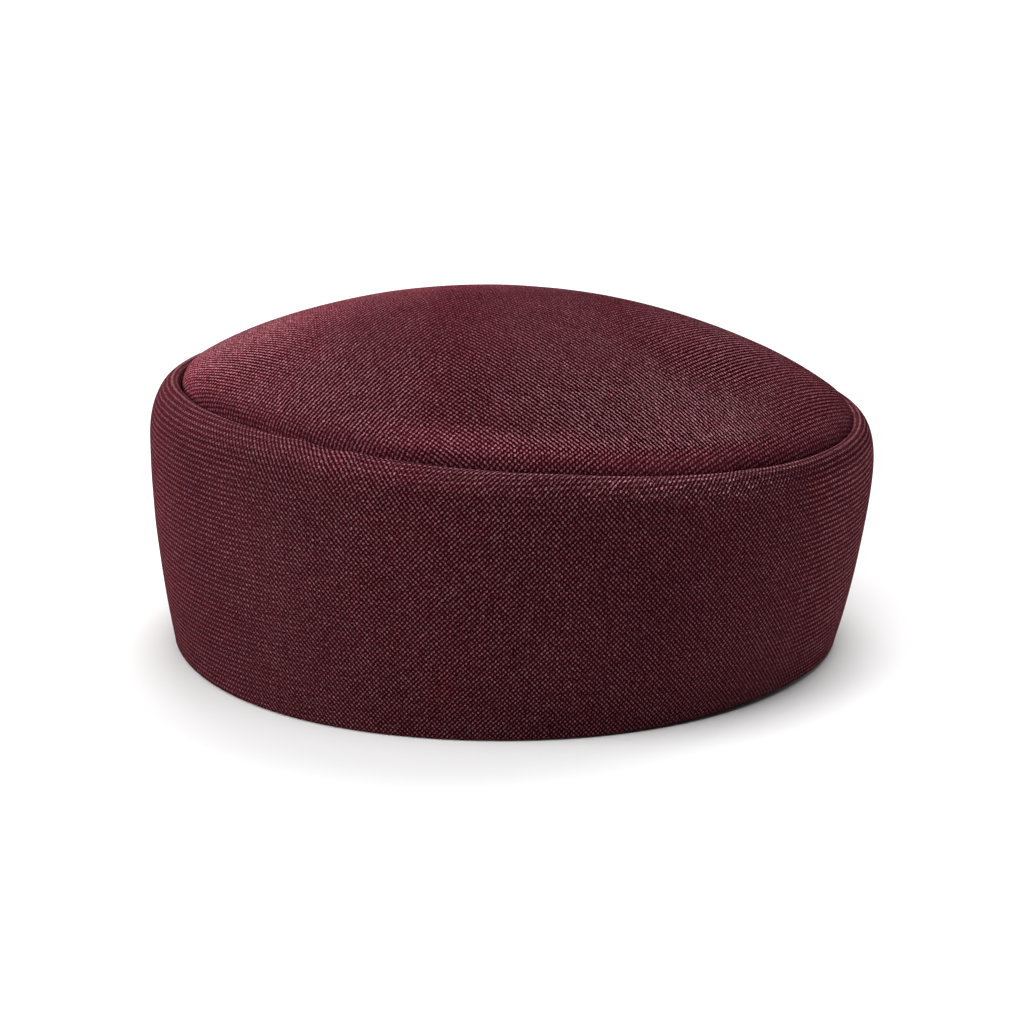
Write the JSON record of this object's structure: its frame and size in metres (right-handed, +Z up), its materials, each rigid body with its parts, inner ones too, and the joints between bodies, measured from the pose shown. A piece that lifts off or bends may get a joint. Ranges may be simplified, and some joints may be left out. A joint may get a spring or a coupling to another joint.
{
  "type": "pillbox hat",
  "caption": "Brimless oval cloth hat: a flared side band with a rolled top edge and a low domed crown set into a recessed seam.",
  "frame": {"origin": "middle of the hat's plan, in the plane of the hem that it rests on", "axes": "+Z up through the crown; -X towards the front, where the side band is tallest; Y from side to side"},
  "size_m": [0.21, 0.1932, 0.1005],
  "materials": {
    "band_cloth": "matt woven burgundy cloth",
    "crown_cloth": "matt woven burgundy cloth"
  },
  "bodies": {
    "root": {"side_band": "band_cloth", "crown": "crown_cloth"}
  },
  "joints": []
}
